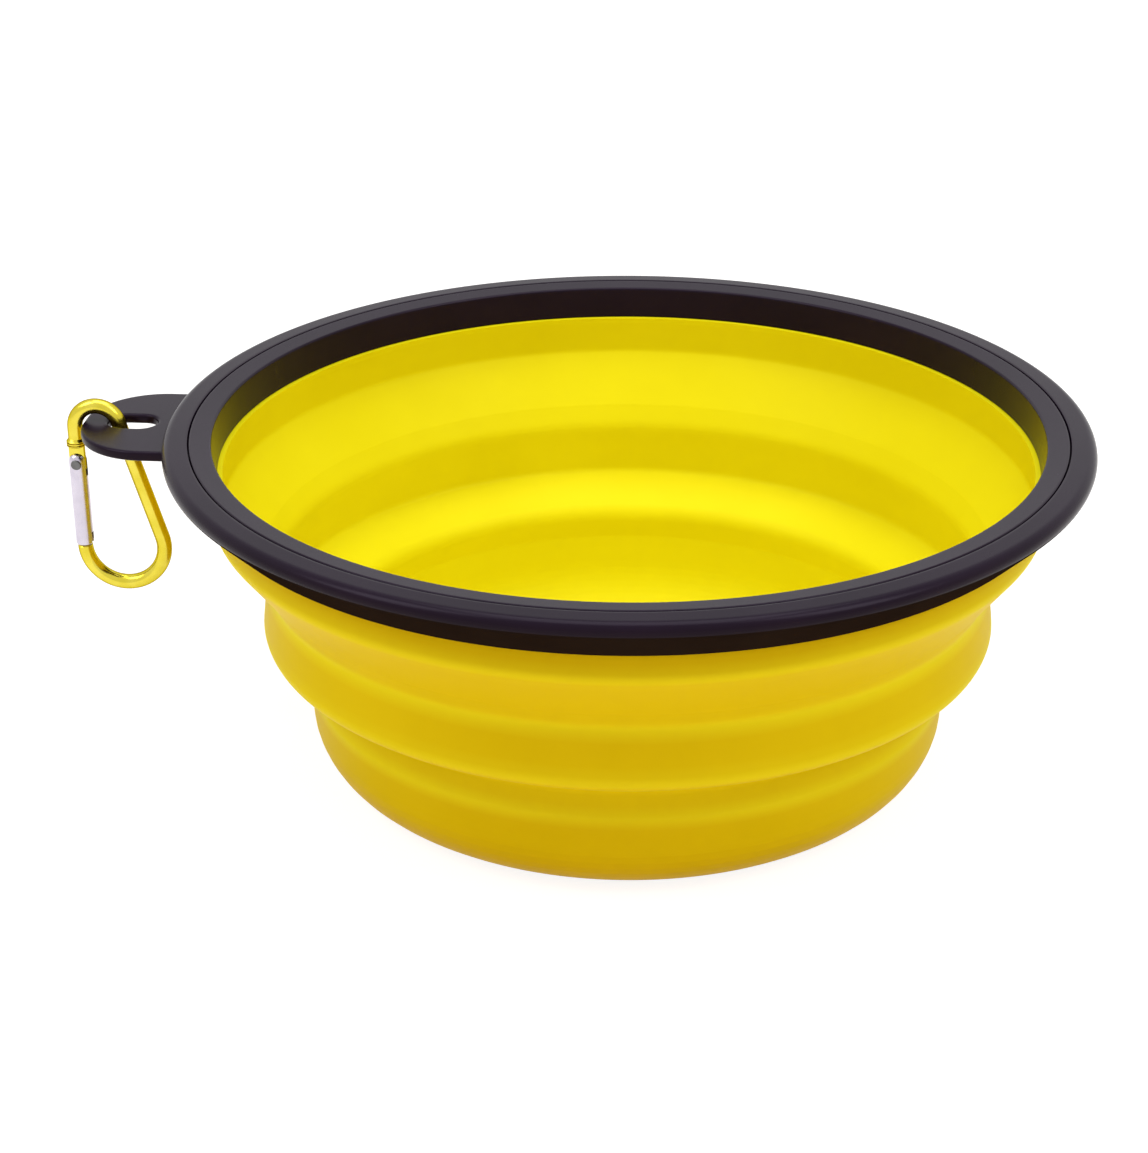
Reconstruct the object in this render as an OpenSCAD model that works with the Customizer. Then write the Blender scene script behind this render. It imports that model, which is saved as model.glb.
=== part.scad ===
// Collapsible silicone bowl: three tiers joined by two fold rings, a hard rim of
// two rings that clamps the silicone's lip, a slotted hang tab on the rim, and a
// pear-shaped carabiner that hangs on the tab's end bar.
// The origin is the centre of the base on the table, +Z is up, and the tab points
// along -X. All sizes are in millimetres, with the bowl open.

/* [Silicone bowl] */
// Thickness of the silicone wall and floor
wall_t = 2; // [1.4:0.1:2.6]
// Radius of the base where its rounded corner would meet the table
base_r = 62.7; // [50:0.1:66]
// Rounding of the corner between base and wall
base_corner_r = 12.5; // [4:0.5:14]
// Height of the base tier, from the table to the lower crease
base_tier_h = 18.4; // [15:0.1:22]
// How far the base tier widens on its way up
base_flare = 0.8; // [0.2:0.1:6]
// Height of the steep wall between the lower crease and the lower shoulder
lower_rise_h = 5.2; // [4:0.1:10]
// How far that wall leans outwards on its way up; a negative one leans inwards
lower_rise_lean = -1.2; // [-2:0.1:1]
// Width of the lower shoulder
lower_shoulder_w = 10.1; // [5:0.1:12]
// Height that the lower shoulder climbs over its width
lower_shoulder_h = 5.9; // [2:0.1:9]
// Height of the middle tier, from its edge to the upper crease
middle_tier_h = 11.7; // [9:0.1:16]
// How far the middle tier widens on its way up; a negative one narrows
middle_flare = -1.4; // [-2:0.1:5]
// Height of the steep wall between the upper crease and the upper shoulder
upper_rise_h = 3.6; // [2:0.1:10]
// How far that wall leans outwards on its way up; a negative one leans inwards
upper_rise_lean = 2; // [-1:0.1:4]
// Width of the upper shoulder
upper_shoulder_w = 8; // [5:0.1:10]
// Height that the upper shoulder climbs over its width
upper_shoulder_h = 10.4; // [2:0.1:12]
// Height of the upper tier, from its edge to the seat in the rim
upper_tier_h = 7.4; // [6:0.1:16]
// How far the upper tier widens on its way up; a negative one narrows
upper_flare = -0.6; // [-2:0.1:2]
// Rounding of each tier's lower edge, outside
edge_round_r = 3.2; // [1:0.1:4]
// Rounding of each crease, outside
crease_round_r = 2.6; // [1:0.1:4]
// Rounding of the hinge corner at the foot of each shoulder, outside
hinge_round_r = 1.4; // [0.5:0.1:2]
// Height above each tier's edge from which the wall bends with the fold
edge_lead = 2.4; // [1.4:0.1:3]
// Height above each crease down to which the wall bends with the fold
crease_lead = 0.8; // [0.5:0.1:1.5]

/* [Silicone lip in the rim] */
// Thickness of the web that runs out under the clamp ring
web_t = 1; // [0.8:0.1:1.6]
// Width of the bead at the web's end
bead_w = 1.5; // [1.3:0.1:3]
// Chamfer on the bead's upper corners
bead_chamfer = 0.5; // [0.2:0.1:1]

/* [Rim] */
// Height of the clamp ring at its inner face
clamp_h = 6.4; // [5:0.1:9]
// Thickness of the clamp ring's skirt
skirt_t = 1.2; // [1:0.1:2]
// How far the skirt stands back from the silicone's inner face
skirt_setback = 0.9; // [0.3:0.1:1.4]
// How far the skirt's inner face opens on its way up
skirt_draft = 0.9; // [0:0.1:1.5]
// Thickness of the clamp ring's top flange
flange_t = 2; // [1.5:0.1:2.6]
// Height of the rim's crown at the seam over its inner edge
crown_h = 0.4; // [0.1:0.1:1]
// Gap between the skirt and the bead
bead_gap = 0.3; // [0.1:0.1:0.6]
// Gap between the bead and the rim ring's channel wall
channel_gap = 0.3; // [0.25:0.05:0.6]
// Seam between the two rings
seam_w = 0.2; // [0.1:0.05:0.25]
// Width of the shelf beside the channel, under the clamp ring's flange
shelf_w = 2; // [1.4:0.1:3]
// Width of the rim ring outside its channel
rim_wall_w = 7; // [6:0.1:9]
// Radius of the roll from the rim's top into its outer wall
roll_r = 1.8; // [1.2:0.1:2.6]
// Slope of the rim ring's top beside the roll, in degrees
top_slope = 2; // [1:1:10]
// Inward lean of the rim ring's outer wall, in degrees
wall_lean = 46; // [30:1:48]
// Rounding of the rim ring's lower outer corner
foot_round_r = 0.8; // [0.4:0.1:1.2]
// Thickness of the rim ring's lip under the silicone
lip_floor_t = 1.4; // [1:0.1:1.8]
// Gap between that lip and the silicone wall
lip_gap = 0.4; // [0.3:0.1:0.6]
// Depth of the snap rib that holds the two rings together
snap_depth = 0.4; // [0.2:0.1:0.6]
// Height of the snap rib
snap_h = 0.9; // [0.6:0.1:1.2]

/* [Hang tab] */
// How far the tab reaches beyond the rim
tab_reach = 17.9; // [13:0.1:20]
// Half of the tab's width
tab_half_w = 15.8; // [15:0.1:22]
// Radius of the tab's two outer corners
tab_corner_r = 14.4; // [9:0.1:14.5]
// Thickness of the tab
tab_t = 2; // [1.6:0.1:3]
// Depth of the tab's top under the rim's inner edge
tab_drop = 2.8; // [2:0.1:4]
// Width of the slot
slot_w = 7; // [5.5:0.1:9]
// Distance from the rim's outer wall to the slot
slot_start = 3.3; // [1:0.1:4]
// Width of the end bar that the carabiner hangs on
end_bar_w = 4.8; // [2.4:0.1:5]

/* [Carabiner] */
// Diameter of the carabiner's round bar
bar_d = 3; // [2.4:0.1:3.4]
// Radius of the small bend, at the bar's centre line
small_bend_r = 4.5; // [4.3:0.1:6]
// Radius of the large bend, at the bar's centre line
large_bend_r = 8.1; // [7:0.1:10]
// Distance between the two bends' centres, along the gate
bend_spacing = 25.4; // [23:0.1:32]
// Gap between the carabiner and the end bar's upper corners
hang_gap = 0.15; // [0.1:0.05:0.4]
// Length of the straight stub between the small bend and the gate
stub_h = 4; // [2.5:0.1:4.6]
// Diameter of the collar at the stub's end
collar_d = 3.8; // [3.4:0.1:4.4]
// Height of the collar
collar_h = 1.3; // [0.8:0.1:2]
// Depth of the gate's pivot under the small bend's centre
pivot_drop = 7.6; // [7.3:0.1:9]
// Thickness of the tongue at the pivot
tongue_t = 1.3; // [1:0.1:1.6]
// Half of the tongue's width
tongue_half_w = 1.5; // [1.2:0.1:1.7]
// Distance from the pivot to the cam edge when the gate is shut
cam_r = 1.7; // [1.4:0.1:1.8]
// Growth of the cam's radius for each degree that the gate opens
cam_rise = 0.0143; // [0.005:0.001:0.02]
// Angle over which the cam grows, in degrees
cam_sweep = 40; // [30:1:60]
// Thickness of the nose blade that the shut gate closes over
nose_t = 1.2; // [0.8:0.1:1.6]
// Width of the nose blade
nose_w = 2.2; // [1.4:0.1:2.6]
// Height of the nose blade
nose_h = 2.2; // [1.2:0.1:3]

/* [Gate] */
// Diameter of the gate
gate_d = 3.6; // [3.2:0.1:4]
// Height of the gate's rounded head over the pivot
head_r = 2.2; // [1.9:0.1:2.5]
// Gap between the gate's end and the large bend
end_gap = 0.3; // [0.2:0.1:0.6]
// Clearance on each side of the tongue and of the nose
fork_gap = 0.1; // [0.05:0.05:0.2]
// Depth of the fork's slot under the pivot
fork_depth = 2.7; // [2.6:0.1:3.2]
// Gap between the nose blade's top and the gate
nose_gap = 0.6; // [0.5:0.1:1]
// Radius of the bore for spring and plunger
bore_r = 0.95; // [0.8:0.05:1.1]
// Depth of that bore under the pivot
bore_depth = 9.4; // [8:0.1:12]
// Radius of the rivet
rivet_r = 0.7; // [0.5:0.05:0.9]
// Running clearance between the rivet and the tongue
rivet_play = 0.05; // [0.02:0.01:0.1]
// Clearance between the rivet and the fork's ears
rivet_fit = 0.02; // [0.01:0.01:0.04]
// Radius of the rivet's heads
rivet_head_r = 1.05; // [0.9:0.05:1.2]
// Thickness of the rivet's heads
rivet_head_t = 0.35; // [0.2:0.05:0.5]
// Depth of the flat seat under each rivet head
rivet_seat_depth = 0.25; // [0.2:0.05:0.4]
// Length of the plunger
plunger_l = 2.6; // [2:0.1:3.2]
// Running clearance between the plunger and its bore
plunger_play = 0.07; // [0.03:0.01:0.1]
// Gap between the plunger's tip and the cam
plunger_gap = 0.12; // [0.1:0.01:0.2]
// Wire diameter of the spring
spring_wire_d = 0.3; // [0.2:0.05:0.35]
// Outer diameter of the spring
spring_d = 1.6; // [1.2:0.1:1.7]
// Number of curls in the spring
spring_curls = 5; // [3:1:6]
// Gap between the spring's ends and what they press on
spring_end_gap = 0.03; // [0.01:0.01:0.1]

/* [Hidden] */

// One overrun serves every cut
cut = 1;
// How far the bar's straight stretches run into its bends, and how much finer they are,
// so that each ends inside the bend that carries it on
bar_weld = bar_d / 15;
bar_step = bar_d / 100;
// Points in one rounded corner of the wall
corner_steps = 6;
// Rings in one curl of the spring, and sides of its tube
curl_rings = 8;
tube_sides = 6;

// Outline of the bowl's outside, from the base's centre out and up through the seat
r_lower_crease = base_r + base_flare;
r_lower_hinge = r_lower_crease + lower_rise_lean;
r_middle_edge = r_lower_hinge + lower_shoulder_w;
r_upper_crease = r_middle_edge + middle_flare;
r_upper_hinge = r_upper_crease + upper_rise_lean;
r_upper_edge = r_upper_hinge + upper_shoulder_w;
r_wall_top = r_upper_edge + upper_flare;
z_lower_crease = base_tier_h;
z_lower_hinge = z_lower_crease + lower_rise_h;
z_middle_edge = z_lower_hinge + lower_shoulder_h;
z_upper_crease = z_middle_edge + middle_tier_h;
z_upper_hinge = z_upper_crease + upper_rise_h;
z_upper_edge = z_upper_hinge + upper_shoulder_h;
z_seat = z_upper_edge + upper_tier_h;
outside = [[0, 0], [base_r, 0], [r_lower_crease, z_lower_crease],
           [r_lower_hinge, z_lower_hinge], [r_middle_edge, z_middle_edge],
           [r_upper_crease, z_upper_crease], [r_upper_hinge, z_upper_hinge],
           [r_upper_edge, z_upper_edge], [r_wall_top, z_seat],
           [r_wall_top, z_seat + web_t]];
// Rounding of each corner of that outline
outside_rounds = [0, base_corner_r, crease_round_r, hinge_round_r, edge_round_r,
                  crease_round_r, hinge_round_r, edge_round_r, 0, 0];

// Heights at which the moulding is divided into rigid and folding bands
z_base_top = z_lower_crease + crease_lead;
z_middle_bottom = z_middle_edge + edge_lead;
z_middle_top = z_upper_crease + crease_lead;
z_upper_bottom = z_upper_edge + edge_lead;

// Rim
z_web_top = z_seat + web_t;
z_rim = z_web_top + clamp_h;
r_skirt_bottom = r_wall_top - wall_t + skirt_setback;
r_skirt_outer = r_skirt_bottom + skirt_t;
r_clamp_inner = r_skirt_bottom + skirt_draft;
r_bead_inner = r_skirt_outer + bead_gap;
r_bead_outer = r_bead_inner + bead_w;
r_channel = r_bead_outer + channel_gap;
r_shelf = r_channel + shelf_w;
r_clamp_outer = r_shelf - seam_w;
r_rim = r_channel + rim_wall_w;
r_lip = r_wall_top + lip_gap;
z_flange = z_rim - flange_t;
z_lip_bottom = z_seat - lip_floor_t;
// Centre of the roll, so that the sloped top meets the crown at the seam
roll_c = [r_rim - roll_r,
          z_rim + crown_h - roll_r / cos(top_slope)
          - (r_rim - roll_r - r_shelf) * tan(top_slope)];
// Centre of the foot's rounding, on the leaning wall's tangent
foot_z = z_lip_bottom + foot_round_r;
foot_c = [roll_c[0] + (roll_r - foot_round_r) / cos(wall_lean)
          - (roll_c[1] - foot_z) * tan(wall_lean), foot_z];
snap_z = z_flange + (flange_t - snap_h) / 2;

// Hang tab
z_tab_top = z_rim - tab_drop;
tab_tip = r_rim + tab_reach;
slot_end = tab_tip - end_bar_w;
slot_begin = r_rim + slot_start;

// Carabiner, around the centre of its small bend
bar_r = bar_d / 2;
grip_r = small_bend_r - bar_r - hang_gap;
bend_x = -(slot_end + end_bar_w / 2);
bend_z = z_tab_top - sqrt(grip_r * grip_r - end_bar_w * end_bar_w / 4);
large_c = [large_bend_r - small_bend_r, -bend_spacing];
// Direction from either bend's centre to where the straight back leaves it
back_a = atan2(bend_spacing, -large_c[0]) - acos(large_c[0] / norm(large_c));
gate_l = bend_spacing - pivot_drop - end_gap;
nose_slot_z = nose_h - end_gap + nose_gap;
ear_y = gate_d / 2 - rivet_seat_depth;
plunger_r = bore_r - plunger_play;
plunger_tip_z = -(cam_r + plunger_gap);
plunger_foot_z = plunger_tip_z - plunger_l;
spring_top_z = plunger_foot_z - spring_end_gap;
spring_bottom_z = spring_end_gap - bore_depth;

// Geometry helpers
function unit(v) = v / norm(v);
function left_of(v) = [-v[1], v[0]];
function arc(c, r, from, to, steps = corner_steps) =
    [for (i = [0:steps]) let (a = from + (to - from) * i / steps) c + r * [cos(a), sin(a)]];

// Directions of the runs before and after point i of a path
function run_in(p, i) = unit(i == 0 ? p[1] - p[0] : p[i] - p[i - 1]);
function run_out(p, i) = unit(i == len(p) - 1 ? p[i] - p[i - 1] : p[i + 1] - p[i]);

// A path moved to its left by t, with mitred corners
function moved(p, t) =
    [for (i = [0:len(p) - 1])
        let (a = left_of(run_in(p, i)), b = left_of(run_out(p, i)))
        p[i] + t * (a + b) / (1 + a * b)];

// Which way a path turns at point i: 1 to the left, -1 to the right, 0 straight on
function side_of(p, i) = sign(cross(run_in(p, i), run_out(p, i)));

// A path with its corners rounded
function rounded(p, radii) =
    [for (i = [0:len(p) - 1])
        if (radii[i] == 0 || side_of(p, i) == 0) p[i]
        else
            let (a = run_in(p, i), b = run_out(p, i), r = radii[i],
                 side = side_of(p, i), turn = acos(min(a * b, 1)),
                 start = p[i] - a * r * tan(turn / 2),
                 c = start + side * r * left_of(a),
                 from = atan2(start[1] - c[1], start[0] - c[0]))
            each arc(c, r, from, from + side * turn)];

// Inner radii: a corner that bulges outwards is tighter inside, by the wall
inside_rounds = [for (i = [0:len(outside) - 1])
                 let (r = outside_rounds[i])
                 r == 0 ? 0 : side_of(outside, i) > 0 ? max(r - wall_t, wall_t / 4)
                                                      : r + wall_t];

// Section of the whole silicone moulding below the rim's seat
module wall_section() {
    inner = rounded(moved(outside, wall_t), inside_rounds);
    polygon(concat(rounded(outside, outside_rounds),
                   [for (i = [len(inner) - 1:-1:0]) inner[i]]));
}

// The moulding between two heights, as a ring or cup
module wall_band(z_low, z_high) {
    rotate_extrude($fn = 180)
        intersection() {
            wall_section();
            translate([0, z_low])
                square([r_rim, z_high - z_low]);
        }
}

module base_cup() {
    color("gold")
        wall_band(0, z_base_top);
}

module lower_fold() {
    color("goldenrod")
        wall_band(z_base_top, z_middle_bottom);
}

module middle_tier() {
    color("gold")
        wall_band(z_middle_bottom, z_middle_top);
}

module upper_fold() {
    color("goldenrod")
        wall_band(z_middle_top, z_upper_bottom);
}

// Rigid upper wall with the web and bead that the rim's two rings clamp
module upper_wall() {
    color("gold")
        rotate_extrude($fn = 180)
            union() {
                intersection() {
                    wall_section();
                    translate([0, z_upper_bottom])
                        square([r_rim, z_seat - z_upper_bottom]);
                }
                polygon([[r_wall_top - wall_t, z_seat],
                         [r_bead_outer, z_seat],
                         [r_bead_outer, z_flange - bead_chamfer],
                         [r_bead_outer - bead_chamfer, z_flange],
                         [r_bead_inner + bead_chamfer, z_flange],
                         [r_bead_inner, z_flange - bead_chamfer],
                         [r_bead_inner, z_web_top],
                         [r_wall_top - wall_t, z_web_top]]);
            }
}

// D-shaped tab outline, drawn with the tab pointing along +X
module tab_outline() {
    flat_half_w = tab_half_w - tab_corner_r;
    corner_x = tab_tip - tab_corner_r;
    difference() {
        union() {
            translate([r_channel + seam_w, -tab_half_w])
                square([corner_x - r_channel - seam_w, 2 * tab_half_w]);
            translate([corner_x, -flat_half_w])
                square([tab_corner_r, 2 * flat_half_w]);
            for (side = [-1, 1])
                translate([corner_x, side * flat_half_w])
                    circle(tab_corner_r, $fn = 96);
        }
        circle(r_shelf, $fn = 180);
        slot_outline();
    }
}

module slot_outline() {
    end_r = slot_w / 2;
    for (x = [slot_begin + end_r, slot_end - end_r])
        translate([x, 0])
            circle(end_r, $fn = 48);
    translate([slot_begin + end_r, -end_r])
        square([slot_end - slot_begin - slot_w, slot_w]);
}

// Outer and lower ring of the rim, with its channel, shelf, snap groove and hang tab
module rim_ring() {
    color([0.13, 0.12, 0.13])
        union() {
            rotate_extrude($fn = 180)
                polygon(concat(
                    [[r_shelf, z_rim + crown_h]],
                    arc(roll_c, roll_r, 90 - top_slope, -wall_lean, 2 * corner_steps),
                    arc(foot_c, foot_round_r, -wall_lean, -90),
                    [[r_lip, z_lip_bottom],
                     [r_lip, z_seat],
                     [r_channel, z_seat],
                     [r_channel, z_flange - seam_w],
                     [r_shelf, z_flange - seam_w],
                     [r_shelf, snap_z - seam_w],
                     [r_shelf + snap_depth, snap_z],
                     [r_shelf + snap_depth, snap_z + snap_h],
                     [r_shelf, snap_z + snap_h + seam_w]]));
            rotate([0, 0, 180])
                translate([0, 0, z_tab_top - tab_t])
                    linear_extrude(tab_t)
                        tab_outline();
        }
}

// Inner and upper ring of the rim: its skirt presses on the web, its flange on the
// bead, and its rib snaps into the rim ring
module clamp_ring() {
    rib_r = r_clamp_outer + snap_depth;
    color([0.17, 0.16, 0.18])
        rotate_extrude($fn = 180)
            polygon([[r_skirt_bottom, z_web_top],
                     [r_skirt_outer, z_web_top],
                     [r_skirt_outer, z_flange],
                     [r_clamp_outer, z_flange],
                     [r_clamp_outer, snap_z],
                     [rib_r, snap_z + seam_w],
                     [rib_r, snap_z + snap_h - seam_w],
                     [r_clamp_outer, snap_z + snap_h],
                     [r_clamp_outer, z_rim + crown_h],
                     [r_clamp_inner + crown_h, z_rim],
                     [r_clamp_inner, z_rim - crown_h]]);
}

// Places its children at the centre of the carabiner's small bend
module at_small_bend() {
    translate([bend_x, 0, bend_z])
        children();
}

// Places its children at the gate's pivot
module at_pivot() {
    translate([bend_x - small_bend_r, 0, bend_z - pivot_drop])
        children();
}

// A bend of the round bar in the XZ plane, swept from one angle through another
module bend(c, r, from, sweep) {
    translate([c[0], 0, c[1]])
        rotate([90, 0, 0])
            rotate([0, 0, from])
                rotate_extrude(angle = sweep, $fn = 96)
                    translate([r, 0])
                        circle(bar_r, $fn = 32);
}

// Outline of the tongue around the pivot, with its cam edge
module tongue_outline() {
    top = pivot_drop - stub_h + collar_h / 2;
    intersection() {
        polygon(concat(
            [[tongue_half_w, top], [-tongue_half_w, top]],
            arc([0, 0], cam_r, 180, 270),
            [for (a = [0:cam_sweep / corner_steps:cam_sweep])
                (cam_r + cam_rise * a) * [sin(a), -cos(a)]],
            [[tongue_half_w, -(cam_r + cam_rise * cam_sweep) * cos(cam_sweep)]]));
        translate([-tongue_half_w, -2 * cam_r])
            square([2 * tongue_half_w, 2 * cam_r + top]);
    }
}

// Extrudes an XZ outline across the carabiner's thickness, centred on its plane
module across(t) {
    rotate([90, 0, 0])
        translate([0, 0, -t / 2])
            linear_extrude(t)
                children();
}

// Open pear-shaped link: two bends, a straight back, the stub and tongue that carry
// the gate, and the nose that the gate shuts on
module carabiner_body() {
    back_dir = [cos(back_a), sin(back_a)];
    back_start = small_bend_r * back_dir;
    back_run = large_c + large_bend_r * back_dir - back_start;
    back_a_down = 90 + atan2(-back_run[1], back_run[0]);
    color([0.85, 0.72, 0.1])
        union() {
            at_small_bend() {
                bend([0, 0], small_bend_r, back_a, 180 - back_a);
                bend(large_c, large_bend_r, -180, 180 + back_a);
                translate([back_start[0], 0, back_start[1]])
                    rotate([0, back_a_down, 0])
                        translate([0, 0, -bar_weld])
                            cylinder(norm(back_run) + 2 * bar_weld, r = bar_r - bar_step,
                                     $fn = 32);
                translate([-small_bend_r, 0, -stub_h])
                    cylinder(stub_h + bar_weld, r = bar_r - bar_step, $fn = 32);
                translate([-small_bend_r, 0, -stub_h])
                    cylinder(collar_h, d = collar_d, $fn = 32);
                translate([-small_bend_r, 0, -bend_spacing])
                    across(nose_t)
                        polygon([[-nose_w / 2, -bar_r / 2], [nose_w / 2, -bar_r / 2],
                                 [nose_w / 2, nose_h / 2], [0, nose_h],
                                 [-nose_w / 2, nose_h]]);
            }
            at_pivot()
                difference() {
                    across(tongue_t)
                        tongue_outline();
                    rotate([90, 0, 0])
                        cylinder(gate_d, r = rivet_r + rivet_play, center = true, $fn = 32);
                }
        }
}

// Gate: a rod with a rounded, forked head at the pivot, a slot for the nose at its
// end, and a bore for plunger and spring
module carabiner_gate() {
    fork_w = tongue_t + 2 * fork_gap;
    nose_slot_w = nose_t + 2 * fork_gap;
    color([0.8, 0.8, 0.8])
        at_pivot()
            difference() {
                union() {
                    translate([0, 0, -gate_l])
                        cylinder(gate_l, d = gate_d, $fn = 48);
                    intersection() {
                        cylinder(head_r, d = gate_d, $fn = 48);
                        rotate([90, 0, 0])
                            cylinder(gate_d, r = head_r, center = true, $fn = 48);
                    }
                }
                translate([-gate_d, -fork_w / 2, -fork_depth])
                    cube([2 * gate_d, fork_w, fork_depth + head_r + cut]);
                translate([-gate_d, -nose_slot_w / 2, -gate_l - cut])
                    cube([2 * gate_d, nose_slot_w, nose_slot_z + cut]);
                translate([0, 0, -bore_depth])
                    cylinder(bore_depth + head_r + cut, r = bore_r, $fn = 32);
                rotate([90, 0, 0])
                    cylinder(2 * gate_d, r = rivet_r + rivet_fit, center = true, $fn = 32);
                for (side = [-1, 1])
                    rotate([side * 90, 0, 0])
                        translate([0, 0, ear_y])
                            cylinder(gate_d, r = rivet_head_r + fork_gap, $fn = 32);
            }
}

// Rivet through the fork's ears and the tongue, with a flat head on each side
module gate_pivot_rivet() {
    color([0.7, 0.7, 0.7])
        at_pivot()
            rotate([90, 0, 0])
                union() {
                    cylinder(2 * ear_y, r = rivet_r, center = true, $fn = 32);
                    for (side = [0, 1])
                        mirror([0, 0, side])
                            translate([0, 0, ear_y])
                                cylinder(rivet_head_t, r = rivet_head_r, $fn = 32);
                }
}

// Plunger that slides in the gate's bore and follows the cam
module gate_plunger() {
    color([0.75, 0.75, 0.78])
        at_pivot()
            union() {
                translate([0, 0, plunger_foot_z])
                    cylinder(plunger_l - plunger_r, r = plunger_r, $fn = 32);
                translate([0, 0, plunger_tip_z - plunger_r])
                    intersection() {
                        sphere(plunger_r, $fn = 32);
                        cylinder(plunger_r, r = plunger_r, $fn = 32);
                    }
            }
}

// Points along the spring's centre line
spring_coil_r = (spring_d - spring_wire_d) / 2;
spring_rise = spring_top_z - spring_bottom_z - spring_wire_d;
spring_rings = spring_curls * curl_rings;
function coil_point(t) =
    [spring_coil_r * cos(360 * spring_curls * t), spring_coil_r * sin(360 * spring_curls * t),
     spring_bottom_z + spring_wire_d / 2 + spring_rise * t];
// One ring of the tube round that line
function coil_ring(t) =
    let (a = 360 * spring_curls * t, out = [cos(a), sin(a), 0],
         slope = atan2(spring_rise, 2 * PI * spring_coil_r * spring_curls),
         up = [sin(a) * sin(slope), -cos(a) * sin(slope), cos(slope)])
    [for (s = [0:tube_sides - 1])
        coil_point(t) + spring_wire_d / 2 * (cos(360 * s / tube_sides) * out
                                             + sin(360 * s / tube_sides) * up)];
spring_points = [for (k = [0:spring_rings]) each coil_ring(k / spring_rings)];
// Least gap between points of the tube that lie at least most of a curl apart
apart = round(curl_rings * 3 / 4);
spring_self_gap =
    min([for (i = [0:spring_rings - apart]) for (j = [i + apart:spring_rings])
        norm(coil_point(i / spring_rings) - coil_point(j / spring_rings))]) - spring_wire_d;
echo(spring_self_gap = spring_self_gap);

module gate_spring() {
    last = spring_rings * tube_sides;
    color([0.6, 0.6, 0.62])
        at_pivot()
            polyhedron(spring_points, concat(
                [[for (s = [0:tube_sides - 1]) s]],
                [for (k = [0:spring_rings - 1]) for (s = [0:tube_sides - 1]) for (half = [0, 1])
                    let (a = k * tube_sides + s, b = k * tube_sides + (s + 1) % tube_sides)
                    half == 0 ? [a, a + tube_sides, b]
                              : [b, a + tube_sides, b + tube_sides]],
                [[for (s = [tube_sides - 1:-1:0]) last + s]]));
}

base_cup();
lower_fold();
middle_tier();
upper_fold();
upper_wall();
rim_ring();
clamp_ring();
carabiner_body();
carabiner_gate();
gate_pivot_rivet();
gate_spring();
gate_plunger();
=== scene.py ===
"""Looks of the collapsible silicone bowl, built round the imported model.

Everything is in metres in the model's own frame: the origin is the centre of the
base, +Z is up, and the hang tab and carabiner point along -X.
"""
import math
import bmesh
import bpy
from mathutils import Matrix, Vector
from mathutils.kdtree import KDTree


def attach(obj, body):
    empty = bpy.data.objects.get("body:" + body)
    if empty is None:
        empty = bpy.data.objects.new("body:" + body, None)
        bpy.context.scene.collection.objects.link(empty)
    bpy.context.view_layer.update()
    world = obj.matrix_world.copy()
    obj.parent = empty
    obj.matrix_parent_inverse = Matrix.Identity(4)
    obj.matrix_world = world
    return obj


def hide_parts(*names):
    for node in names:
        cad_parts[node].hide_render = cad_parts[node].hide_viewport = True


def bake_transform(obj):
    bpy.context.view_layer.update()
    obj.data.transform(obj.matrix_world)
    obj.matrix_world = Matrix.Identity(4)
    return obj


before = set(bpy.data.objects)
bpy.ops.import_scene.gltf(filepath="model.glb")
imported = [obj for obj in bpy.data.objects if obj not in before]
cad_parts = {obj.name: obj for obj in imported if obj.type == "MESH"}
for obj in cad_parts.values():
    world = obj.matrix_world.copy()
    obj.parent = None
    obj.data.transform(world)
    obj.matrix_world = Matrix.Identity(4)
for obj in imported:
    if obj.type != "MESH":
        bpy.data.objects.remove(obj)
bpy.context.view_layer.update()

MM = 0.001


def mm(*values):
    """Millimetres to metres, as one number or a vector of two."""
    return values[0] * MM if len(values) == 1 else Vector([v * MM for v in values])


# Driving sizes, the same as in part.scad
WALL_T = mm(2.0)
BASE_R = mm(62.7)
BASE_CORNER_R = mm(12.5)
BASE_TIER_H = mm(18.4)
BASE_FLARE = mm(0.8)
LOWER_RISE_H = mm(5.2)
LOWER_RISE_LEAN = mm(-1.2)
LOWER_SHOULDER_W = mm(10.1)
LOWER_SHOULDER_H = mm(5.9)
MIDDLE_TIER_H = mm(11.7)
MIDDLE_FLARE = mm(-1.4)
UPPER_RISE_H = mm(3.6)
UPPER_RISE_LEAN = mm(2.0)
UPPER_SHOULDER_W = mm(8.0)
UPPER_SHOULDER_H = mm(10.4)
UPPER_TIER_H = mm(7.4)
UPPER_FLARE = mm(-0.6)
EDGE_ROUND_R = mm(3.2)
CREASE_ROUND_R = mm(2.6)
HINGE_ROUND_R = mm(1.4)
WEB_T = mm(1.0)
BEAD_W = mm(1.5)
CLAMP_H = mm(6.4)
SKIRT_T = mm(1.2)
SKIRT_SETBACK = mm(0.9)
SKIRT_DRAFT = mm(0.9)
FLANGE_T = mm(2.0)
CROWN_H = mm(0.4)
BEAD_GAP = mm(0.3)
CHANNEL_GAP = mm(0.3)
SEAM_W = mm(0.2)
SHELF_W = mm(2.0)
RIM_WALL_W = mm(7.0)
ROLL_R = mm(1.8)
TOP_SLOPE = math.radians(2)
WALL_LEAN = math.radians(46)
FOOT_ROUND_R = mm(0.8)
LIP_FLOOR_T = mm(1.4)
LIP_GAP = mm(0.4)
TAB_REACH = mm(17.9)
TAB_HALF_W = mm(15.8)
TAB_CORNER_R = mm(14.4)
TAB_T = mm(2.0)
TAB_DROP = mm(2.8)
SLOT_W = mm(7.0)
SLOT_START = mm(3.3)
END_BAR_W = mm(4.8)
BAR_R = mm(1.5)
SMALL_BEND_R = mm(4.5)
LARGE_BEND_R = mm(8.1)
BEND_SPACING = mm(25.4)
HANG_GAP = mm(0.15)
STUB_H = mm(4.0)
COLLAR_R = mm(1.9)
COLLAR_H = mm(1.3)
PIVOT_DROP = mm(7.6)
GATE_R = mm(1.8)
HEAD_R = mm(2.2)
END_GAP = mm(0.3)
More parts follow.
